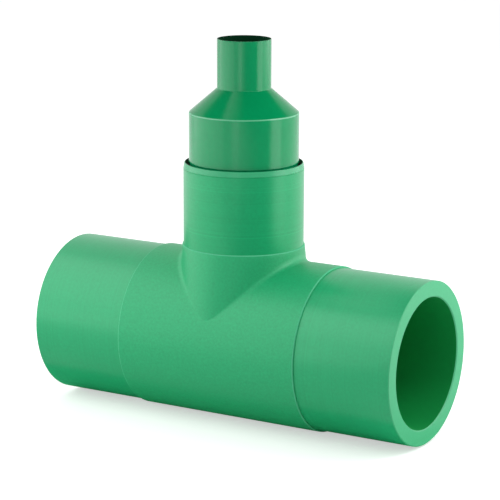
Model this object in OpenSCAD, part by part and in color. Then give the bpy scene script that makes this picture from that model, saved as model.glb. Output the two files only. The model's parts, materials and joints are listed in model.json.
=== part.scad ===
// Reducing tee in green polypropylene: one moulded tee with turned ends, and a reducer seated in its branch.
// The run lies along X and the branch points up along Z. The origin is where the two axes cross.

/* [Run] */
// Outside diameter of the run's two plain ends
run_od = 160; // [150:1:200]
// Wall thickness of the run at its ends
run_wall = 15.7; // [10:0.1:20]
// Length of the run from end face to end face
run_length = 403; // [340:1:600]
// How far the branch stands from the middle of the run, towards its left end
branch_shift = 3.9; // [0:0.1:8]
// Small bevel around the outer edge of each end face
end_edge = 0.7; // [0.2:0.1:2]
// Small bevel around the mouth of the run's bore
bore_edge = 1; // [0.2:0.1:3]

/* [Moulded body] */
// Length of the moulded body along the run
body_length = 200; // [160:1:280]
// How far the moulded body stands proud of the turned ends
body_rise = 1.7; // [0.5:0.1:4]
// How far the moulded neck stands proud of the turned branch
neck_rise = 1.1; // [0.4:0.1:3]
// Height of the moulded neck above the crown of the body
neck_height = 12.9; // [10:0.1:30]
// How far the neck, which spreads sideways on its way down, would stand proud of the body at the run's axis
neck_spread = 1.1; // [0.4:0.1:2]
// Radius of the blend between the neck and the run
saddle_r = 7; // [2:0.5:9]
// Rounding of the moulded edges where the turned ends begin
mould_edge = 1; // [0.2:0.1:1]

/* [Branch] */
// Outside diameter of the turned branch
branch_od = 118.9; // [116:0.1:126]
// Diameter of the passage through the branch
branch_bore = 88; // [80:0.5:91]
// Length of the turned branch, from the neck to its rim
branch_length = 81.4; // [50:0.1:140]
// Width of the slight taper at the rim
rim_taper = 0.8; // [0.2:0.1:1.5]
// Height of the slight taper at the rim
rim_taper_height = 5.2; // [3:0.1:12]
// Rounding of the rim's outer edge
rim_round = 0.8; // [0.3:0.1:1.2]
// Width of the rim's flat top
rim_flat = 0.4; // [0.2:0.1:1.5]
// Depth of the flared recess between the rim and the reducer
recess_depth = 6; // [3:0.1:10]

/* [Reducer] */
// Outside diameter of the reducer's large end
reducer_od = 108.2; // [104:0.1:111]
// Height of the large end above the branch's rim
reducer_height = 49.3; // [36:0.1:80]
// Inside diameter of the large end
reducer_bore = 86; // [76:0.5:90]
// Height of the cone between the large and the small end
cone_height = 23.7; // [18:0.1:60]
// Outside diameter of the small end
outlet_od = 53.2; // [40:0.1:63]
// Inside diameter of the small end
outlet_bore = 42.8; // [30:0.1:43]
// Length of the small end above the cone
outlet_length = 48.3; // [30:0.1:90]
// Rounding of the shoulder between the large end and the cone
shoulder_r = 2.5; // [0.5:0.1:5]
// Radius of the hollow corner where the small end rises from the cone
foot_r = 1; // [0.3:0.1:3]
// Width of the ring left at the mouth by the bevel inside it
mouth_lip = 1.3; // [0.5:0.1:3]
// Depth of the bevel inside the mouth
mouth_bevel_depth = 14; // [4:0.5:25]
// Rounding of the mouth's outer edge
mouth_round = 0.4; // [0.2:0.1:1]

/* [Seat of the reducer] */
// How far the reducer goes down into the branch
seat_depth = 24; // [16:0.5:40]
// How much slimmer the seated part is than the large end, on each side
seat_step = 0.8; // [0.4:0.1:2]
// Clearance around the seated part, on each side
seat_clearance = 0.1; // [0.05:0.05:0.3]

/* [Hidden] */
$fn = 180;

run_r = run_od/2;
run_bore_r = run_r - run_wall;
run_right = run_length/2 + branch_shift;
run_left = branch_shift - run_length/2;

body_r = run_r + body_rise;
body_right = body_length/2 + branch_shift;
body_left = branch_shift - body_length/2;

branch_r = branch_od/2;
neck_r = branch_r + neck_rise;
neck_top = body_r + neck_height;
// Half the neck's width across the run, if it went on down to the run's axis
neck_foot = body_r + neck_spread;
// How far the neck's front and back lean out
neck_lean = atan((neck_foot - neck_r)/neck_top);
rim_top = neck_top + branch_length;
rim_outer_r = branch_r - rim_taper;
rim_inner_r = rim_outer_r - rim_round - rim_flat;

reducer_r = reducer_od/2;
seat_r = reducer_r - seat_step;
socket_r = seat_r + seat_clearance;
socket_floor = rim_top - seat_depth;
shoulder_z = rim_top + reducer_height;
cone_top = shoulder_z + cone_height;
outlet_r = outlet_od/2;
mouth_z = cone_top + outlet_length;
// How far the wall turns inwards at the shoulder, and back upwards at the cone's top
cone_turn = 90 - atan2(cone_height, reducer_r - outlet_r);

// How far a cutting tool runs past the face that it opens
overrun = 1;
// How far the blend's lower edge is sunk into the run
blend_sink = 0.05;
// How far the neck's hidden root lies inside the branch and the run
neck_root = 3;
neck_around = 96;
blend_across = 6;

// Points on an arc in the plane of a profile, centre included as c
function arc(c, r, from, to, steps = 5) =
    [for (i = [0:steps]) let (a = from + (to - from)*i/steps) c + r*[cos(a), sin(a)]];

// Turns a profile, given as radius and place along the axis, around the run's axis
module turned_along_x(profile) {
    rotate([0, 90, 0]) rotate_extrude() polygon(profile);
}

module run_outside() {
    turned_along_x(concat(
        [[0, run_left], [run_r - end_edge, run_left], [run_r, run_left + end_edge], [run_r, body_left]],
        arc([body_r - mould_edge, body_left + mould_edge], mould_edge, -90, 0),
        arc([body_r - mould_edge, body_right - mould_edge], mould_edge, 0, 90),
        [[run_r, body_right], [run_r, run_right - end_edge], [run_r - end_edge, run_right], [0, run_right]]));
}

module run_passage() {
    turned_along_x([
        [0, run_left - overrun], [run_bore_r + bore_edge + overrun, run_left - overrun],
        [run_bore_r, run_left + bore_edge], [run_bore_r, run_right - bore_edge],
        [run_bore_r + bore_edge + overrun, run_right + overrun], [0, run_right + overrun]]);
}

module branch_outside() {
    rotate_extrude() polygon(concat(
        [[0, 0], [branch_r, 0], [branch_r, rim_top - rim_taper_height]],
        arc([rim_outer_r - rim_round, rim_top - rim_round], rim_round, 0, 90),
        [[0, rim_top]]));
}

module branch_passage() {
    rotate_extrude() polygon([
        [0, 0], [branch_bore/2, 0], [branch_bore/2, socket_floor], [socket_r, socket_floor],
        [socket_r, rim_top - recess_depth], [rim_inner_r, rim_top], [rim_inner_r, rim_top + overrun],
        [0, rim_top + overrun]]);
}

// A point on the neck's wall: round at the neck's top, and lower down wider across the run
// and nearer to the middle of the body
function neck_wall(a, z) =
    let (down = 1 - z/neck_top)
    [neck_r*cos(a) + branch_shift*down, (neck_r + (neck_foot - neck_r)*down)*sin(a), z];

// The direction that the neck's wall faces
function neck_normal(a, z) =
    let (half_width = neck_wall(90, z).y,
         n = [half_width*cos(a), neck_r*sin(a),
              neck_r*tan(neck_lean)*sin(a)*sin(a) + half_width*cos(a)*branch_shift/neck_top])
    n/norm(n);

// Centre of a ball of radius saddle_r that touches the neck's wall at the given place
function ball_centre(a, z) = neck_wall(a, z) + saddle_r*neck_normal(a, z);

// Height at which the ball that rolls in the corner touches the neck's wall, halved down to a fine step
function blend_height(a, low, high, steps = 30) =
    let (middle = (low + high)/2, c = ball_centre(a, middle))
    steps == 0 ? middle
        : norm([c.y, c.z]) < body_r + saddle_r ? blend_height(a, middle, high, steps - 1)
        : blend_height(a, low, middle, steps - 1);

// Direction part of the way from one unit vector to another
function turned_towards(u, v, t) =
    let (w = acos(u*v)) (sin((1 - t)*w)*u + sin(t*w)*v)/sin(w);

// One section of the neck: its rounded top edge, its wall, the ball's arc down to the run, and its root
function neck_section(a) =
    let (lowest = (neck_foot*cos(neck_lean) + saddle_r)*sin(neck_lean),
         z = blend_height(a, lowest, neck_top),
         c = ball_centre(a, z),
         to_neck = -neck_normal(a, z),
         to_run = -[0, c.y, c.z]/(body_r + saddle_r),
         root = neck_r - neck_root,
         edge = arc([neck_r - mould_edge, neck_top - mould_edge], mould_edge, 90, 0, 3))
    concat(
        [[root*cos(a), root*sin(a), neck_top]],
        [for (p = edge) [p.x*cos(a), p.x*sin(a), p.y]],
        [for (i = [0:blend_across])
            c + (saddle_r + blend_sink*i/blend_across)*turned_towards(to_neck, to_run, i/blend_across)],
        [[root*cos(a), root*sin(a), sqrt(pow(body_r, 2) - pow(root*sin(a), 2)) - neck_root]]);

module neck_outside() {
    ring = len(neck_section(0));
    polyhedron(
        points = [for (k = [0:neck_around - 1]) each neck_section(360*k/neck_around)],
        faces = [for (k = [0:neck_around - 1], j = [0:ring - 1])
            let (here = k*ring, next = ((k + 1) % neck_around)*ring, up = (j + 1) % ring)
            each [[here + j, next + j, next + up], [here + j, next + up, here + up]]],
        convexity = 6);
}

module tee_body() {
    color("#4aac7c") difference() {
        union() {
            run_outside();
            branch_outside();
            neck_outside();
        }
        run_passage();
        branch_passage();
    }
}

module reducer() {
    // Height lost between a sharp corner and the start of its rounding, for each millimetre of radius
    corner_run = tan(cone_turn/2);
    shoulder_centre = [reducer_r - shoulder_r, shoulder_z - shoulder_r*corner_run];
    foot_centre = [outlet_r + foot_r, cone_top + foot_r*corner_run];
    reducer_wall = reducer_r - reducer_bore/2;
    outlet_wall = outlet_r - outlet_bore/2;
    color("#2f9765") rotate_extrude() polygon(concat(
        [[branch_bore/2, socket_floor], [seat_r, socket_floor], [seat_r, rim_top]],
        [[reducer_r, rim_top + seat_step]],
        arc(shoulder_centre, shoulder_r, 0, cone_turn),
        arc(foot_centre, foot_r, 180 + cone_turn, 180),
        arc([outlet_r - mouth_round, mouth_z - mouth_round], mouth_round, 0, 90),
        [[outlet_r - mouth_lip, mouth_z], [outlet_bore/2, mouth_z - mouth_bevel_depth]],
        [[outlet_bore/2, cone_top - outlet_wall*corner_run]],
        [[reducer_bore/2, shoulder_z - reducer_wall*corner_run], [reducer_bore/2, rim_top]]));
}

tee_body();
reducer();
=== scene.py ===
"""Reducing tee in green polypropylene: a moulded tee with turned ends and a glossy reducer in its branch.

The run lies along X, the branch stands along Z, and the origin is where their axes cross.
"""

import json
import math

import bmesh
import bpy
from mathutils import Matrix, Vector


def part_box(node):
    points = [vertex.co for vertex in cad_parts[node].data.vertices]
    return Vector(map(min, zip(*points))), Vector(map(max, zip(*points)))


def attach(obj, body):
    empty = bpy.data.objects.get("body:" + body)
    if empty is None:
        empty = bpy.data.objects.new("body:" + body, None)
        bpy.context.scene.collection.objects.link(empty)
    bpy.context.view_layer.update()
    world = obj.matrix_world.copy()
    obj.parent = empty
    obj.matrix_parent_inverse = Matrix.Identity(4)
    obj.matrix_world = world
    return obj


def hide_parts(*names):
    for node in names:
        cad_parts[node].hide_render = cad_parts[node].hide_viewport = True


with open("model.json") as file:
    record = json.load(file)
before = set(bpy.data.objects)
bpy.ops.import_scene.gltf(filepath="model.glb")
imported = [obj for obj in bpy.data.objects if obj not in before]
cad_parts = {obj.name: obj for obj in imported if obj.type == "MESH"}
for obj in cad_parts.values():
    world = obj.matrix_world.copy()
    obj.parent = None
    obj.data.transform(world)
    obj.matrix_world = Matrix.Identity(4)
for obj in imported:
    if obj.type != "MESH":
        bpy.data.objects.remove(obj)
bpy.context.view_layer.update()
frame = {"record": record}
mounts = {mount["name"]: mount["dims"] for mount in frame["record"]["mounts"]}
tee_low, tee_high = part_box("tee_body")
reducer_low, reducer_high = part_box("reducer")

# A millimetre in metres
MM = 0.001

# Sizes of the tee in millimetres, read from the frame where it has them, and otherwise those of the solids
RUN_R = mounts["run_end_right"]["r_mm"]
RUN_BORE_R = mounts["run_bore"]["r_mm"]
RUN_LEFT, RUN_RIGHT = tee_low.x / MM, tee_high.x / MM
RUN_MIDDLE = (RUN_LEFT + RUN_RIGHT) / 2
BODY_R = -tee_low.z / MM
BODY_LENGTH = 200.0
BODY_LEFT, BODY_RIGHT = RUN_MIDDLE - BODY_LENGTH / 2, RUN_MIDDLE + BODY_LENGTH / 2
END_EDGE = 0.7
BORE_EDGE = 1.0
MOULD_EDGE = 1.0
SADDLE_R = 7.0
BRANCH_R = 59.45
BRANCH_BORE_R = 44.0
NECK_RISE = 1.1
NECK_HEIGHT = 12.9
NECK_SPREAD = 1.1
NECK_R = BRANCH_R + NECK_RISE
NECK_TOP = BODY_R + NECK_HEIGHT
# Half the neck's width across the run, if it went on down to the run's axis
NECK_FOOT = BODY_R + NECK_SPREAD
RIM_TOP = tee_high.z / MM
RIM_TAPER = 0.8
RIM_TAPER_HEIGHT = 5.2
RIM_ROUND = 0.8
RIM_FLAT = 0.4
RECESS_DEPTH = 6.0
# A tool's groove below the rim's taper, and the share of its height over which each of its sides slopes
GROOVE_DEPTH = 0.35
GROOVE_HEIGHT = 1.0
GROOVE_SIDE = 0.2

# Sizes of the reducer in millimetres
REDUCER_R = reducer_high.x / MM
REDUCER_BORE_R = 43.0
SEAT_FLOOR = reducer_low.z / MM
SEAT_STEP = 0.8
SEAT_CLEARANCE = 0.1
REDUCER_HEIGHT = 49.3
CONE_HEIGHT = 23.7
SOCKET_R = REDUCER_R - SEAT_STEP + SEAT_CLEARANCE
SHOULDER_Z = RIM_TOP + REDUCER_HEIGHT
CONE_TOP = SHOULDER_Z + CONE_HEIGHT
MOUTH_Z = reducer_high.z / MM
OUTLET_R = mounts["branch_outlet"]["r_mm"]
OUTLET_BORE_R = mounts["outlet_bore"]["r_mm"]
SHOULDER_R = 2.5
FOOT_R = 1.0
MOUTH_LIP = 1.3
MOUTH_ROUND = 0.4
MOUTH_BEVEL_DEPTH = 14.0

# How finely the round shapes are divided
RUN_STEPS = 180
REDUCER_STEPS = 240
PATCH_STEPS = 60
BLEND_STEPS = 10
PATCH_RINGS = 14
ROUND_STEPS = 5
SHOULDER_STEPS = 8
# Distance from a corner to the extra points that keep the shading flat up to it, and the shortest stretch
# that has them
HOLD_GAP, HOLD_LENGTH = 0.25, 1.5
# Half the length of the stretch of the run in which the branch opens, outside and in the bore
PATCH_HALF, BORE_PATCH_HALF = 80.0, 70.0
# The power by which the rings of that stretch crowd together near the branch, where 1 is evenly spaced
PATCH_CROWDING = 1.6
# Places of the extra rings on the neck's wall and in the branch's passage, as shares of the way
NECK_SHARES = (0.03, 0.25, 0.5, 0.75, 0.97)
PASSAGE_SHARES = (0.1, 0.5, 0.9)
# The lowest place on the neck where its blend could begin, and how often the search for it halves the way
LOWEST_TOUCH, HALVINGS = 20.0, 40
# Steps of the blend next to the neck that have the neck's finish
NECK_BLEND_STEPS = 3
# Steps of the shoulder's rounding between which it has a painted highlight
HIGHLIGHT_FROM, HIGHLIGHT_TO = 1, 6
# Edges that turn by more than this stay sharp
SHARP_TURN = math.radians(32)

# Finishes of the tee, in the order in which it is given its materials
# Of these, the edges and the rim have painted highlights, and the bore, gap, neck and branch painted shade
GRAIN, TURNED, FACED, BORE, GAP, EDGE_HIGHLIGHT, NECK, BRANCH, RIM = range(9)
# Finishes of the reducer, in the same way
# Of these, the shoulder has a painted highlight, and the inside and the cone painted shade
GLOSS, SHADED, SHOULDER_HIGHLIGHT, CONE = range(4)


def arc(centre, radius, start, end, steps=ROUND_STEPS):
    """Points on an arc in a profile, each (place along the axis, distance from it); angles in degrees."""
    place, out = centre
    turns = [math.radians(start + (end - start) * i / steps) for i in range(steps + 1)]
    return [(place + radius * math.sin(t), out + radius * math.cos(t)) for t in turns]


def held(points):
    """A profile with an extra point close to each end of every stretch that is long enough."""
    result = [points[0]]
    for a, b in zip(points, points[1:]):
        length = math.dist(a, b)
        if length > HOLD_LENGTH:
            for share in (HOLD_GAP / length, 1 - HOLD_GAP / length):
                result.append(tuple(p + (q - p) * share for p, q in zip(a, b)))
        result.append(b)
    return result


class Skin:
    """Vertices in millimetres and faces with a finish, gathered into one mesh."""

    def __init__(self):
        self.points = []
        self.faces = []
        self.finishes = []

    def add(self, points):
        """Adds vertices and returns their numbers."""
        start = len(self.points)
        self.points += [tuple(p) for p in points]
        return list(range(start, len(self.points)))

    def face(self, corners, finish=0):
        """One face between vertices that are there already."""
        self.faces.append(tuple(corners))
        self.finishes.append(finish)

    def strip(self, first, second, finish):
        """Faces between two rings."""
        for i in range(len(first)):
            j = (i + 1) % len(first)
            self.face((first[i], first[j], second[j], second[i]), finish)

    def stack(self, rings, finish):
        """Faces between each ring and the next."""
        for first, second in zip(rings, rings[1:]):
            self.strip(first, second, finish)

    def follow(self, start, parts, ring_at):
        """Goes on from a ring along the parts of a profile, each with its finish. Returns the last ring."""
        for profile, finish in parts:
            for place, radius in profile:
                ring = self.add(ring_at(place, radius))
                self.strip(start, ring, finish)
                start = ring
        return start

    def build(self, name, materials):
        """Makes the object, smooth but for its sharp edges. A face's finish is its material's number."""
        mesh = bpy.data.meshes.new(name)
        mesh.from_pydata([[c * MM for c in p] for p in self.points], [], self.faces)
        for material in materials:
            mesh.materials.append(material)
        mesh.polygons.foreach_set("material_index", self.finishes)
        mesh.polygons.foreach_set("use_smooth", [True] * len(self.faces))
        shape = bmesh.new()
        shape.from_mesh(mesh)
        bmesh.ops.recalc_face_normals(shape, faces=shape.faces)
        shape.to_mesh(mesh)
        shape.free()
        mesh.set_sharp_from_angle(angle=SHARP_TURN)
        thing = bpy.data.objects.new(name, mesh)
        bpy.context.collection.objects.link(thing)
        return thing


def ring_x(place, radius):
    """A ring around the run's axis, which starts at the bottom."""
    turns = [2 * math.pi * i / RUN_STEPS for i in range(RUN_STEPS)]
    return [(place, -radius * math.sin(t), -radius * math.cos(t)) for t in turns]


def ring_z(place, radius, turns):
    """A ring around the branch's axis."""
    return [(radius * math.cos(t), radius * math.sin(t), place) for t in turns]


def on_run(place, along, radius):
    """A point on a cylinder around the run, from its place and its distance around from the top."""
    return (place, radius * math.sin(along / radius), radius * math.cos(along / radius))


def opening_in_run(skin, radius, half_length, hole, finish):
    """The middle of a cylinder around the run, with a hole at the top for the branch.

    hole gives the point on the hole's edge at an angle about the branch.
    Returns the two end rings, the vertices around the hole and the angle of each about the branch.
    """
    half_turn = RUN_STEPS // 4
    step = 2 * math.pi / RUN_STEPS
    top = RUN_STEPS // 2
    places = [-half_length + 2 * half_length * i / PATCH_STEPS for i in range(PATCH_STEPS + 1)]
    rows = []
    for place in places:
        inside = place not in (places[0], places[-1])
        circle = ring_x(place, radius)
        kept = [i for i in range(RUN_STEPS) if not inside or abs(i - top) >= half_turn]
        numbers = skin.add([circle[i] for i in kept])
        rows.append(dict(zip(kept, numbers)))
    for here, there in zip(rows, rows[1:]):
        for i in range(RUN_STEPS):
            j = (i + 1) % RUN_STEPS
            if abs(i + 0.5 - top) > half_turn:
                skin.face((here[i], here[j], there[j], there[i]), finish)
    low, high = top - half_turn, top + half_turn
    # Around the patch, in order: along one side, across, back along the other side and across again
    border = [(places[-1], i, rows[-1][i]) for i in range(top, high)]
    border += [(places[k], high, rows[k][high]) for k in range(PATCH_STEPS, 0, -1)]
    border += [(places[0], i, rows[0][i]) for i in range(high, low, -1)]
    border += [(places[k], low, rows[k][low]) for k in range(PATCH_STEPS)]
    border += [(places[-1], i, rows[-1][i]) for i in range(low, top)]
    side = half_turn * step * radius
    turns, outer, flat = [], [], []
    for place, i, number in border:
        along = (i - top) * step * radius
        flat.append((place, along))
        turns.append(math.atan2(along / side, place / half_length))
        outer.append(number)
    edge = [hole(t) for t in turns]
    rings = [outer]
    for k in range(1, PATCH_RINGS + 1):
        share = (1 - k / PATCH_RINGS) ** PATCH_CROWDING
        row = []
        for (place, along), (x, y, z) in zip(flat, edge):
            hole_along = math.atan2(y, z) * radius
            row.append(on_run(x + (place - x) * share, hole_along + (along - hole_along) * share, radius))
        rings.append(skin.add(row))
    skin.stack(rings, finish)
    left = [rows[0][i] for i in range(RUN_STEPS)]
    right = [rows[-1][i] for i in range(RUN_STEPS)]
    return left, right, rings[-1], turns


def neck_wall(turn, height):
    """A point on the neck's wall: round at its top, and wider and nearer the body's middle lower down."""
    down = 1 - height / NECK_TOP
    wide = NECK_R + (NECK_FOOT - NECK_R) * down
    return Vector((NECK_R * math.cos(turn) + RUN_MIDDLE * down, wide * math.sin(turn), height))


def neck_normal(turn, height):
    """The direction that the neck's wall faces."""
    slope = (NECK_FOOT - NECK_R) / NECK_TOP
    wide = neck_wall(math.pi / 2, height).y
    return Vector((wide * math.cos(turn), NECK_R * math.sin(turn),
                   NECK_R * slope * math.sin(turn) ** 2
                   + wide * math.cos(turn) * RUN_MIDDLE / NECK_TOP)).normalized()


def ball_centre(turn, height):
    """Centre of a ball that touches the neck's wall at a place."""
    return neck_wall(turn, height) + SADDLE_R * neck_normal(turn, height)


def touch_height(turn):
    """Height at which the ball that rolls in the corner between the body and the neck touches the neck."""
    low, high = LOWEST_TOUCH, NECK_TOP
    for _ in range(HALVINGS):
        height = (low + high) / 2
        centre = ball_centre(turn, height)
        if math.hypot(centre.y, centre.z) < BODY_R + SADDLE_R:
            low = height
        else:
            high = height
    return height


def blend_point(turn, share):
    """A point on the blend, from the body at share 0 to the neck at share 1."""
    height = touch_height(turn)
    centre = ball_centre(turn, height)
    to_body = Vector((0, -centre.y, -centre.z)).normalized()
    to_neck = -neck_normal(turn, height)
    return centre + SADDLE_R * to_body.slerp(to_neck, share)


def passage_point(turn):
    """A point on the edge between the run's bore and the branch's passage."""
    y = BRANCH_BORE_R * math.sin(turn)
    return (BRANCH_BORE_R * math.cos(turn), y, math.sqrt(RUN_BORE_R ** 2 - y ** 2))


def run_end(skin, sign, limit, body_end, start, bore_start):
    """One end of the run, from the body's middle out to the end face and back into the bore."""
    edge = arc((body_end - sign * MOULD_EDGE, BODY_R - MOULD_EDGE), MOULD_EDGE, 0, 90 * sign)
    body = held([(PATCH_HALF * sign, BODY_R), edge[0]])[1:]
    plain = held([edge[-1], (body_end, RUN_R), (limit - sign * END_EDGE, RUN_R)])[1:]
    face = held([plain[-1], (limit, RUN_R - END_EDGE), (limit, RUN_BORE_R + BORE_EDGE),
                 (limit - sign * BORE_EDGE, RUN_BORE_R)])[1:]
    inside = held([face[-1], (BORE_PATCH_HALF * sign, RUN_BORE_R)])[1:-1]
    # The rounding at the body's end has the painted highlight
    parts = ((body, GRAIN), (edge[1:], EDGE_HIGHLIGHT), (plain, TURNED), (face, FACED), (inside, BORE))
    skin.strip(skin.follow(start, parts, ring_x), bore_start, BORE)


def neck(skin, foot, turns, top):
    """The blend and the neck's wall, from the vertices at the blend's foot up to the given height."""
    rings = [foot]
    for k in range(1, BLEND_STEPS + 1):
        rings.append(skin.add([blend_point(t, k / BLEND_STEPS) for t in turns]))
    skin.stack(rings[:-NECK_BLEND_STEPS], GRAIN)
    # The top of the blend and the neck's wall have painted shade
    skin.stack(rings[-NECK_BLEND_STEPS - 1:], NECK)
    heights = [touch_height(t) for t in turns]
    wall = [rings[-1]]
    for share in NECK_SHARES:
        wall.append(skin.add([neck_wall(t, h + (top - h) * share) for t, h in zip(turns, heights)]))
    skin.stack(wall, NECK)
    return wall[-1]


def branch_and_socket(skin, start, turns, neck_edge):
    """The neck's top edge, the branch up to its rim, and the recess and the socket inside it."""
    rim_r = BRANCH_R - RIM_TAPER
    lip = arc((RIM_TOP - RIM_ROUND, rim_r - RIM_ROUND), RIM_ROUND, 0, 90)
    inner = rim_r - RIM_ROUND - RIM_FLAT
    taper = RIM_TOP - RIM_TAPER_HEIGHT
    branch = held([neck_edge[-1], (NECK_TOP, BRANCH_R), (taper - GROOVE_HEIGHT, BRANCH_R),
                   (taper - GROOVE_HEIGHT * (1 - GROOVE_SIDE), BRANCH_R - GROOVE_DEPTH),
                   (taper - GROOVE_HEIGHT * GROOVE_SIDE, BRANCH_R - GROOVE_DEPTH), (taper, BRANCH_R)])[1:]
    rim = held([branch[-1], lip[0]])[1:] + lip[1:]
    recess = held([lip[-1], (RIM_TOP, inner), (RIM_TOP - RECESS_DEPTH, SOCKET_R)])[1:]
    socket = held([recess[-1], (SEAT_FLOOR, SOCKET_R), (SEAT_FLOOR, BRANCH_BORE_R)])[1:]
    # The neck's top edge and the rim have painted highlights, and the branch painted shade
    parts = ((neck_edge[:1], NECK), (neck_edge[1:], EDGE_HIGHLIGHT), (branch, BRANCH), (rim, RIM),
             (recess, GAP), (socket, BORE))
    return skin.follow(start, parts, lambda place, radius: ring_z(place, radius, turns))


def passage(skin, start, turns, hole, hole_turns):
    """The passage from the socket's floor down to the run's bore."""
    rings = [start]
    for share in PASSAGE_SHARES:
        row = []
        for turn, hole_turn in zip(turns, hole_turns):
            x, y, z = passage_point(turn + (hole_turn - turn) * share)
            row.append((x, y, SEAT_FLOOR + (z - SEAT_FLOOR) * share))
        rings.append(skin.add(row))
    skin.stack(rings + [hole], BORE)


def tee_skin():
    """The whole surface of the tee: outside, end faces, bore, branch, rim, socket and passage."""
    skin = Skin()
    left_ring, right_ring, foot, turns = opening_in_run(
        skin, BODY_R, PATCH_HALF, lambda turn: blend_point(turn, 0), GRAIN)
    bore_left, bore_right, hole, hole_turns = opening_in_run(
        skin, RUN_BORE_R, BORE_PATCH_HALF, passage_point, BORE)
    run_end(skin, 1, RUN_RIGHT, BODY_RIGHT, right_ring, bore_right)
    run_end(skin, -1, RUN_LEFT, BODY_LEFT, left_ring, bore_left)
    neck_edge = arc((NECK_TOP - MOULD_EDGE, NECK_R - MOULD_EDGE), MOULD_EDGE, 0, 90)
    wall_top = neck(skin, foot, turns, neck_edge[0][0])
    socket_floor = branch_and_socket(skin, wall_top, turns, neck_edge)
    passage(skin, socket_floor, turns, hole, hole_turns)
    return skin


def reducer_skin():
    """The reducer's whole surface, turned about the branch's axis."""
    skin = Skin()
    turns = [2 * math.pi * i / REDUCER_STEPS for i in range(REDUCER_STEPS)]
    cone = math.atan2(REDUCER_R - OUTLET_R, CONE_TOP - SHOULDER_Z)
    bend = math.degrees(cone)
    corner = math.tan(cone / 2)
    shoulder = arc((SHOULDER_Z - SHOULDER_R * corner, REDUCER_R - SHOULDER_R), SHOULDER_R, 0, bend,
                   SHOULDER_STEPS)
    foot = arc((CONE_TOP + FOOT_R * corner, OUTLET_R + FOOT_R), FOOT_R, 180 + bend, 180)
    mouth = arc((MOUTH_Z - MOUTH_ROUND, OUTLET_R - MOUTH_ROUND), MOUTH_ROUND, 0, 90)
    outside = held([(SEAT_FLOOR, BRANCH_BORE_R), (SEAT_FLOOR, REDUCER_R - SEAT_STEP),
                    (RIM_TOP, REDUCER_R - SEAT_STEP), (RIM_TOP + SEAT_STEP, REDUCER_R), shoulder[0]])
    outside += held(shoulder[1:] + foot[:1])[:-1] + foot
    outside += held([foot[-1], mouth[0]])[1:] + mouth[1:]
    inside = held([mouth[-1], (MOUTH_Z, OUTLET_R - MOUTH_LIP), (MOUTH_Z - MOUTH_BEVEL_DEPTH, OUTLET_BORE_R),
                   (CONE_TOP - (OUTLET_R - OUTLET_BORE_R) * corner, OUTLET_BORE_R),
                   (SHOULDER_Z - (REDUCER_R - REDUCER_BORE_R) * corner, REDUCER_BORE_R),
                   (RIM_TOP, REDUCER_BORE_R), (SEAT_FLOOR, BRANCH_BORE_R)])[1:-1]
    rings = [skin.add(ring_z(place, radius, turns)) for place, radius in outside]
    bends = outside.index(shoulder[0])
    first, last, top = bends + HIGHLIGHT_FROM, bends + HIGHLIGHT_TO, outside.index(foot[0])
    skin.stack(rings[:first + 1], GLOSS)
    # The shoulder's rounding has a painted highlight, and the cone painted shade
    skin.stack(rings[first:last + 1], SHOULDER_HIGHLIGHT)
    skin.stack(rings[last:top + 1], CONE)
    skin.stack(rings[top:], GLOSS)
    inner = [skin.add(ring_z(place, radius, turns)) for place, radius in inside]
    skin.stack([rings[-1]] + inner + [rings[0]], SHADED)
    return skin


def linear(colour):
    """An sRGB hex colour as linear light, with full alpha."""
    parts = [int(colour[i:i + 2], 16) / 255 for i in (1, 3, 5)]
    return [c / 12.92 if c <= 0.04045 else ((c + 0.055) / 1.055) ** 2.4 for c in parts] + [1.0]


def add(tree, kind, inputs=None, **settings):
    """Adds a node. inputs gives a value or another node's output for each socket, by name or number."""
    made = tree.nodes.new(kind)
    for name, value in settings.items():
        setattr(made, name, value)
    for name, value in (inputs or {}).items():
        if isinstance(value, bpy.types.NodeSocket):
            tree.links.new(value, made.inputs[name])
        else:
            made.inputs[name].default_value = value
    return made


def new_material(name):
    """A material with an empty node tree, and that tree."""
    material = bpy.data.materials.new(name)
    material.use_nodes = True
    material.node_tree.nodes.clear()
    return material, material.node_tree


# Polypropylene refracts light at about 1.49, which is more than water does and as much as acrylic does
POLYPROPYLENE_IOR = 1.49


def polypropylene(name, colour, roughness, pattern, depth_mm, contrast, shine=0.5, shine_colour="#FFFFFF"):
    """Green pipe polypropylene. The pattern, drawn from a place in mm, gives both relief and tint.

    shine is the specular level, 0.5 on a bare surface, and shine_colour tints it.
    """
    material, tree = new_material(name)
    place = add(tree, "ShaderNodeTexCoord").outputs["Object"]
    in_mm = add(tree, "ShaderNodeVectorMath", {0: place, "Scale": 1 / MM}, operation="SCALE").outputs[0]
    height = pattern(tree, in_mm)
    base = linear(colour)
    darker = [c * (1 - contrast) for c in base[:3]] + [1.0]
    lighter = [c * (1 + contrast) for c in base[:3]] + [1.0]
    tint = add(tree, "ShaderNodeMix", {0: height, 6: darker, 7: lighter}, data_type="RGBA")
    bump = add(tree, "ShaderNodeBump", {"Height": height, "Strength": 1.0, "Distance": depth_mm * MM})
    shader = add(tree, "ShaderNodeBsdfPrincipled",
                 {"Base Color": tint.outputs[2], "Roughness": roughness, "IOR": POLYPROPYLENE_IOR,
                  "Specular IOR Level": shine, "Specular Tint": linear(shine_colour),
                  "Normal": bump.outputs[0]})
    add(tree, "ShaderNodeOutputMaterial", {0: shader.outputs[0]})
    return material


# Sizes in millimetres of the grain's lumps, of the unevenness that a polished mould leaves, of the patches
# in which tool marks fade, and of the plain skin that shows there
GRAIN_MM, SMOOTH_MM, PATCH_MM, PLAIN_MM = 2.0, 5.0, 14.0, 2.5
# Distances in millimetres between fine and between broad tool marks, and the share of the broad ones
FINE_MARK_MM, BROAD_MARK_MM, BROAD_SHARE = 1.6, 9.0, 0.35
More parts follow.
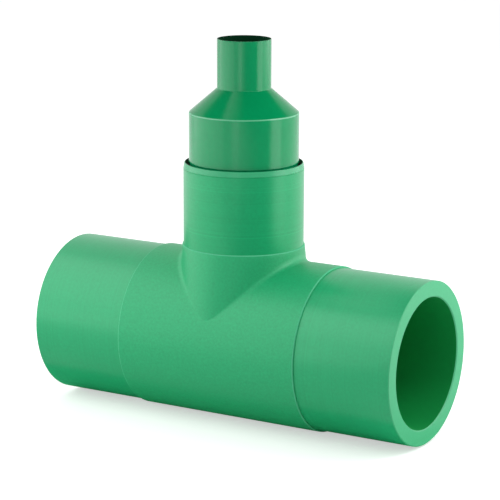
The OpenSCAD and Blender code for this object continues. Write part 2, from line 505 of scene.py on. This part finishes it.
# Heights on the branch at which the tool began a new cut and left a ridge, half a ridge's width, and how
# far it stands out as a share of the relief
CUT_STARTS = (111.5, 114.5, 156.0, 159.5)
CUT_HALF_WIDTH = 0.5
CUT_RELIEF = 0.22
# Height above which everything turned belongs to the branch: between the run's ends and the neck's top
BRANCH_FROM = (RUN_R + NECK_TOP) / 2


def cloud(tree, in_mm, size_mm, detail=2.0):
    """Noise in three directions, with lumps of about the given size."""
    noise = add(tree, "ShaderNodeTexNoise", {"Vector": in_mm, "Scale": 1 / size_mm, "Detail": detail})
    return noise.outputs["Fac"]


def moulded_grain(tree, in_mm):
    """Spark-eroded mould grain. The real one is about 0.3 mm across. Here it is 2 mm, so that it shows."""
    return cloud(tree, in_mm, GRAIN_MM, detail=3.0)


def smooth_skin(tree, in_mm):
    """The slight unevenness of a smooth surface. It is some 5 mm across."""
    return cloud(tree, in_mm, SMOOTH_MM)


def tool_marks(tree, along, spacing_mm):
    """Marks at uneven distances along one axis."""
    noise = add(tree, "ShaderNodeTexNoise", {"W": along, "Scale": 1 / spacing_mm, "Detail": 3.0},
                noise_dimensions="1D")
    return noise.outputs["Fac"]


def blend(tree, share, first, second):
    """A number between two others."""
    return add(tree, "ShaderNodeMix", {0: share, 2: first, 3: second}).outputs[0]


def turned_rings(tree, in_mm):
    """Tool marks across Z on the branch and across X on the run's ends.

    A real feed is about 0.4 mm for each turn. Here the marks are 1.6 mm apart, so that they show, with
    broader ones among them. In patches around the part they fade and the skin is only uneven. Ridges
    stand on the branch where the tool began a new cut.
    """
    xyz = add(tree, "ShaderNodeSeparateXYZ", {0: in_mm})
    on_branch = add(tree, "ShaderNodeMath", {0: xyz.outputs["Z"], 1: BRANCH_FROM}, operation="GREATER_THAN")
    along = blend(tree, on_branch.outputs[0], xyz.outputs["X"], xyz.outputs["Z"])
    marks = blend(tree, BROAD_SHARE, tool_marks(tree, along, FINE_MARK_MM),
                  tool_marks(tree, along, BROAD_MARK_MM))
    skin = blend(tree, cloud(tree, in_mm, PATCH_MM), marks, cloud(tree, in_mm, PLAIN_MM))
    for height in CUT_STARTS:
        ridge = add(tree, "ShaderNodeMath", {0: xyz.outputs["Z"], 1: height, 2: CUT_HALF_WIDTH},
                    operation="COMPARE")
        raised = add(tree, "ShaderNodeMath", {0: ridge.outputs[0], 1: CUT_RELIEF, 2: skin},
                     operation="MULTIPLY_ADD")
        skin = raised.outputs[0]
    return skin


# Tint of the shine on the tee's grained and turned skins
SHINE_TINT = "#CCFFE2"

# Moulded skin: matt and finely mottled, so that lamps show on it only as broad soft light
grain = polypropylene("moulded polypropylene", "#1FAE71", roughness=0.45, pattern=moulded_grain,
                      depth_mm=0.16, contrast=0.22, shine=0.8, shine_colour=SHINE_TINT)
# The neck: the same grain, a shade deeper, which is painted shade
neck_painted_shade = polypropylene("moulded polypropylene neck", "#1CAA6E", roughness=0.43, pattern=moulded_grain,
                           depth_mm=0.16, contrast=0.2, shine=0.66, shine_colour=SHINE_TINT)
# Turned skin: smoother, with a satin sheen that shows the edges of the lamps, crossed by tool rings
turned = polypropylene("turned polypropylene", "#1AAD70", roughness=0.32, pattern=turned_rings,
                       depth_mm=0.06, contrast=0.24, shine=0.85, shine_colour=SHINE_TINT)
# Turned skin of the branch: a shade deeper, which is painted shade, with a little less sheen
branch_painted_shade = polypropylene("turned polypropylene branch", "#17AA6D", roughness=0.3, pattern=turned_rings,
                       depth_mm=0.06, contrast=0.24, shine=0.66, shine_colour=SHINE_TINT)
# Planed end faces: the cutter leaves them paler and matt
faced = polypropylene("planed polypropylene", "#47BA82", roughness=0.5, pattern=moulded_grain,
                      depth_mm=0.02, contrast=0.06)
# Bored inside: matt, with painted shade: a deeper green, as light meets it several times in there
bore_painted_shade = polypropylene("bored polypropylene", "#0D9B4B", roughness=0.7, pattern=smooth_skin,
                      depth_mm=0.01, contrast=0.04, shine=0.2)
# Rounded edges of the tee's moulded body: painted paler as a highlight, and duller than the skin around
# them
edge_painted_highlight = polypropylene("worn polypropylene edge", "#58C795", roughness=0.55, pattern=smooth_skin,
                     depth_mm=0.01, contrast=0.04, shine=0.15)
# Taper of the rim: smoother than the rest of the branch, so it shows a sharper shine, and painted paler as
# a highlight
smooth_rim_painted_highlight = polypropylene("burnished polypropylene rim", "#2AB177", roughness=0.26, pattern=smooth_skin,
                          depth_mm=0.01, contrast=0.04, shine=0.55)
# The gap around the reducer: the same skin where almost no light comes in
gap = polypropylene("polypropylene in the gap", "#06402A", roughness=0.8, pattern=smooth_skin,
                    depth_mm=0.01, contrast=0.04, shine=0.1)
# Reducer: glossy from a polished mould, with sharp-edged reflections
gloss = polypropylene("glossy polypropylene", "#089E62", roughness=0.18, pattern=smooth_skin,
                      depth_mm=0.03, contrast=0.06, shine=0.38)
# The cone: the same gloss with a little less sheen, and a deeper green that is painted shade
deep = polypropylene("glossy polypropylene cone", "#059D5F", roughness=0.2, pattern=smooth_skin,
                     depth_mm=0.03, contrast=0.06, shine=0.22)
# Rounded shoulder of the reducer: painted paler and brighter than the skin around it, as a highlight
shoulder_painted_highlight = polypropylene("rubbed polypropylene edge", "#55C08D", roughness=0.3, pattern=smooth_skin,
                       depth_mm=0.01, contrast=0.04, shine=0.8)
# Reducer inside: in deep shade behind its narrow mouth
shaded = polypropylene("glossy polypropylene inside", "#0A4226", roughness=0.9, pattern=smooth_skin,
                       depth_mm=0.02, contrast=0.04, shine=0.1)

tee = tee_skin().build("tee", [grain, turned, faced, bore_painted_shade, gap, edge_painted_highlight, neck_painted_shade, branch_painted_shade, smooth_rim_painted_highlight])
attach(tee, "root")
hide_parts("tee_body")

cone_reducer = reducer_skin().build("cone_reducer", [gloss, shaded, shoulder_painted_highlight, deep])
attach(cone_reducer, "root")
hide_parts("reducer")


# The camera, from a pinhole fitted to the photograph's outlines
IMAGE = 500
SENSOR_MM = 36.0
LENS_MM = 160.0
CAMERA_DISTANCE = 2.221
CAMERA_AZIMUTH = math.radians(31.07)
CAMERA_ELEVATION = math.radians(12.52)
CAMERA_ROLL = math.radians(0.216)
# Pixel at which the part's origin lands
ORIGIN_PX = (243.33, 334.89)


def place_camera():
    """The camera at the photograph's viewing angle, with the part's origin on its pixel."""
    back = Vector((math.sin(CAMERA_AZIMUTH) * math.cos(CAMERA_ELEVATION),
                   -math.cos(CAMERA_AZIMUTH) * math.cos(CAMERA_ELEVATION), math.sin(CAMERA_ELEVATION)))
    sideways = Vector((math.cos(CAMERA_AZIMUTH), math.sin(CAMERA_AZIMUTH), 0))
    roll = Matrix.Rotation(CAMERA_ROLL, 3, back)
    right = roll @ sideways
    up = back.cross(right)
    per_px = CAMERA_DISTANCE * SENSOR_MM / (LENS_MM * IMAGE)
    spot = (back * CAMERA_DISTANCE - right * (ORIGIN_PX[0] - IMAGE / 2) * per_px
            + up * (ORIGIN_PX[1] - IMAGE / 2) * per_px)
    data = bpy.data.cameras.new("camera")
    data.sensor_width = SENSOR_MM
    data.lens = LENS_MM
    camera = bpy.data.objects.new("camera", data)
    bpy.context.collection.objects.link(camera)
    axes = Matrix((right, up, back)).transposed().to_4x4()
    camera.matrix_world = Matrix.Translation(spot) @ axes
    bpy.context.scene.camera = camera


place_camera()

# Where the lamps aim, in metres: close to the middle of the part
AIM = Vector((0, 0, 0.1))


def lamp_at(name, place, facing, width, height, radiance):
    """A rectangular studio light at a place in metres, with its back turned to the given direction."""
    data = bpy.data.lights.new(name, "AREA")
    data.shape = "RECTANGLE"
    data.size = width
    data.size_y = height
    data.energy = radiance * math.pi * width * height
    lamp = bpy.data.objects.new(name, data)
    lamp.location = place
    lamp.rotation_euler = facing.to_track_quat("Z", "Y").to_euler()
    lamp.visible_camera = False
    bpy.context.collection.objects.link(lamp)
    return lamp


def soft_box(name, azimuth, elevation, distance, width, height, radiance):
    """A soft box aimed at the part, with angles in degrees and lengths in metres.

    Azimuth 0 is the front, where -Y points, and 90 is the right end.
    """
    a, e = math.radians(azimuth), math.radians(elevation)
    out = Vector((math.sin(a) * math.cos(e), -math.cos(a) * math.cos(e), math.sin(e)))
    lamp_at(name, AIM + out * distance, out, width, height, radiance)


# For each, the azimuth and elevation, the distance, the width and height, and the radiance
soft_box("key at the front left", -56, 38, 1.8, 2.1, 1.5, 1.35)
soft_box("low bank at the left", -64, 3, 1.5, 1.75, 0.5, 1.25)
soft_box("low strip at the front left", -24, 3, 1.5, 0.6, 0.5, 0.8)
soft_box("low strip at the front", 14, 3, 1.5, 0.4, 0.5, 1.0)
soft_box("strip at the right end", 100, 2, 0.9, 0.38, 0.9, 1.55)
soft_box("soft box at the back right", 135, 12, 1.6, 1.7, 0.8, 1.35)
soft_box("high soft box at the right", 112, 40, 1.8, 0.7, 0.45, 8.0)

# A box with a grid under the top flag lights only the right end, where the flag would be mirrored
GRID_PLACE, GRID_AIM = Vector((-22, -45, 405)) * MM, Vector((135, -40, 55)) * MM
GRID_WIDTH, GRID_HEIGHT, GRID_RADIANCE = 0.18, 0.08, 2.3
GRID_SPREAD = math.radians(40)
# The grid gathers the light forwards. Cycles keeps the lamp's power, so its radiance grows by this much
GRID_GAIN = math.tan(GRID_SPREAD / 2) / (math.tan(GRID_SPREAD / 2) - GRID_SPREAD / 2)
grid_box = lamp_at("box with a grid", GRID_PLACE, (GRID_PLACE - GRID_AIM).normalized(), GRID_WIDTH,
                   GRID_HEIGHT, GRID_RADIANCE / GRID_GAIN)
grid_box.data.spread = GRID_SPREAD

BLACK = "#1A1A1A"


def weave(tree, colour, density):
    """Matt cloth where density is 1, and a net of it where density is less."""
    clear = add(tree, "ShaderNodeBsdfTransparent")
    threads = add(tree, "ShaderNodeBsdfDiffuse", {"Color": linear(colour)})
    both = add(tree, "ShaderNodeMixShader", {0: density, 1: clear.outputs[0], 2: threads.outputs[0]})
    add(tree, "ShaderNodeOutputMaterial", {0: both.outputs[0]})


def cloth_of(name, colour, density=1.0):
    """Matt cloth, or a net that is equally dense everywhere."""
    material, tree = new_material(name)
    weave(tree, colour, density)
    return material


def black_net(starts, full, most):
    """Black net that grows denser around the part, so that the dark in a reflection starts softly.

    It begins at azimuth starts, and from azimuth full on its density is most.
    """
    material, tree = new_material("black net")
    place = add(tree, "ShaderNodeTexCoord").outputs["Object"]
    xyz = add(tree, "ShaderNodeSeparateXYZ", {0: place})
    front = add(tree, "ShaderNodeMath", {0: xyz.outputs["Y"], 1: -1.0}, operation="MULTIPLY")
    azimuth = add(tree, "ShaderNodeMath", {0: xyz.outputs["X"], 1: front.outputs[0]}, operation="ARCTAN2")
    density = add(tree, "ShaderNodeMapRange",
                  {"Value": azimuth.outputs[0], "From Min": math.radians(starts),
                   "From Max": math.radians(full), "To Max": most}, interpolation_type="SMOOTHSTEP")
    weave(tree, BLACK, density.outputs[0])
    return material


def level(left, right, front, back, height):
    """The corners of a level rectangle, in millimetres."""
    return [(left, front, height), (right, front, height), (right, back, height), (left, back, height)]


def flag(name, quads, material):
    """A sheet that the camera doesn't see, as studios use to change what a glossy thing reflects."""
    sheet = Skin()
    for quad in quads:
        sheet.face(sheet.add(quad))
    piece = sheet.build(name, [material])
    piece.visible_camera = False
    return piece


def around(azimuth, distance, height):
    """A point around the part, in millimetres."""
    a = math.radians(azimuth)
    return (distance * math.sin(a), -distance * math.cos(a), height)


# How many flat parts make up a curved net
NET_PARTS = 16


def net(name, distance, starts, full, ends, bottom, top, most=1.0):
    """A curved net around the front right, from azimuth starts to azimuth ends, at a distance in mm."""
    turn = (ends - starts) / NET_PARTS
    edges = [(starts + turn * i, starts + turn * (i + 1)) for i in range(NET_PARTS)]
    return flag(name, [[around(a, distance, bottom), around(b, distance, bottom),
                        around(b, distance, top), around(a, distance, top)] for a, b in edges],
                black_net(starts, full, most))


# The near nets keep the middle of the branch dark, the wide one the reducer's and the high one its outlet's
net("thin_near_net", 450, -10, 24, 80, -BODY_R, 85, most=0.55)
near_net = net("near_net", 440, -10, 24, 80, -BODY_R, 85, most=0.85)
wide_net = net("wide_net", 800, 25, 65, 84, -BODY_R, 90, most=0.75)
high_net = net("high_net", 800, 20, 42, 88, 90, 250)

# Painted reflection: the sheet is seen only in reflections, where it stands for the floor in the part's
# shade, lit green by the part
# A green sheet on the table keeps the undersides green. It reaches out past the ends of the run
CLOTH_OVERHANG = 120
CLOTH_FRONT, CLOTH_BACK = -75, 60
CLOTH_THICKNESS = 0.3
CLOTH_Z = CLOTH_THICKNESS - BODY_R
reflection_sheet = flag("table_cloth", [level(RUN_LEFT - CLOTH_OVERHANG, RUN_RIGHT + CLOTH_OVERHANG,
                                   CLOTH_FRONT, CLOTH_BACK, CLOTH_Z)],
             cloth_of("green cloth", "#5AD39C"))

# These four are seen only in reflections, and take no light away
for piece in (near_net, wide_net, high_net, reflection_sheet):
    piece.visible_diffuse = False
    piece.visible_shadow = False

# A flag above the mouth keeps the cone and the shoulder dark. It hangs down at its back and left sides
FLAG_Z, FLAG_HEM_Z = 430, 395
FLAG_HALF, FLAG_OUT = 170, 210
# Left of this and behind it the flag is cut away
FLAG_CORNER = 10
# From here to the corner it is a net, because the right end mirrors that part too
NET_LEFT = -80
flag("top_flag",
     [level(FLAG_CORNER, FLAG_HALF, -FLAG_HALF, FLAG_HALF, FLAG_Z),
      [(FLAG_CORNER, FLAG_HALF, FLAG_Z), (FLAG_HALF, FLAG_HALF, FLAG_Z),
       (FLAG_HALF, FLAG_OUT, FLAG_HEM_Z), (FLAG_CORNER, FLAG_OUT, FLAG_HEM_Z)],
      level(-FLAG_HALF, NET_LEFT, -FLAG_HALF, FLAG_CORNER, FLAG_Z),
      [(-FLAG_OUT, -FLAG_HALF, FLAG_HEM_Z), (-FLAG_HALF, -FLAG_HALF, FLAG_Z),
       (-FLAG_HALF, FLAG_CORNER, FLAG_Z), (-FLAG_OUT, FLAG_CORNER, FLAG_HEM_Z)]],
     cloth_of("black velvet", BLACK))
flag("top_net", [level(NET_LEFT, FLAG_CORNER, -FLAG_HALF, FLAG_CORNER, FLAG_Z)],
     cloth_of("dense black net", BLACK, density=0.72))

WHITE = (1, 1, 1, 1)
# How brightly the white surround lights the part, where 1 is as white as it is seen
SURROUND_LIGHT = 0.56
# Light that the floor gives back by itself where it is seen, so that it is white and its shadow soft
FLOOR_GLOW = 0.52
# Distances from the part's origin in metres at which a reflection of the floor begins to glow and is full
GLOW_BEGINS, GLOW_FULL = 0.3, 1.5
# Half the floor's width in millimetres
FLOOR_HALF = 12000


def ray_kinds(tree):
    """Two numbers: one is 1 for camera rays, and the other is 1 for glossy and transmission rays."""
    paths = add(tree, "ShaderNodeLightPath")
    mirrored = add(tree, "ShaderNodeMath", {0: paths.outputs["Is Glossy Ray"],
                                            1: paths.outputs["Is Transmission Ray"]}, operation="MAXIMUM")
    return paths.outputs["Is Camera Ray"], mirrored.outputs[0]


def white_surround():
    """A world that is seen white, and lights the part less than that."""
    world = bpy.data.worlds.new("studio")
    world.use_nodes = True
    tree = world.node_tree
    tree.nodes.clear()
    camera_ray, mirror_ray = ray_kinds(tree)
    seen = add(tree, "ShaderNodeMath", {0: camera_ray, 1: mirror_ray}, operation="MAXIMUM")
    strength = add(tree, "ShaderNodeMix", {0: seen.outputs[0], 2: SURROUND_LIGHT, 3: 1.0})
    backdrop = add(tree, "ShaderNodeBackground", {"Color": WHITE, "Strength": strength.outputs[0]})
    add(tree, "ShaderNodeOutputWorld", {0: backdrop.outputs[0]})
    return world


def floor_finish():
    """Matt white paper, which glows a little where it is seen.

    In reflections it glows only outside the part's shadow.
    """
    material, tree = new_material("white paper")
    camera_ray, mirror_ray = ray_kinds(tree)
    place = add(tree, "ShaderNodeTexCoord").outputs["Object"]
    away = add(tree, "ShaderNodeVectorMath", {0: place}, operation="LENGTH").outputs["Value"]
    outside = add(tree, "ShaderNodeMapRange",
                  {"Value": away, "From Min": GLOW_BEGINS, "From Max": GLOW_FULL})
    mirrored = add(tree, "ShaderNodeMath", {0: mirror_ray, 1: outside.outputs[0]}, operation="MULTIPLY")
    seen = add(tree, "ShaderNodeMath", {0: camera_ray, 1: mirrored.outputs[0]}, operation="MAXIMUM")
    paper = add(tree, "ShaderNodeBsdfDiffuse", {"Color": linear("#EEEEEE")})
    strength = add(tree, "ShaderNodeMath", {0: seen.outputs[0], 1: FLOOR_GLOW}, operation="MULTIPLY")
    glow = add(tree, "ShaderNodeEmission", {"Color": WHITE, "Strength": strength.outputs[0]})
    both = add(tree, "ShaderNodeAddShader", {0: paper.outputs[0], 1: glow.outputs[0]})
    add(tree, "ShaderNodeOutputMaterial", {0: both.outputs[0]})
    return material


bpy.context.scene.world = white_surround()

floor = Skin()
floor.face(floor.add(level(-FLOOR_HALF, FLOOR_HALF, -FLOOR_HALF, FLOOR_HALF, -BODY_R)))
floor_piece = floor.build("floor", [floor_finish()])

bpy.context.scene.view_settings.view_transform = "Standard"
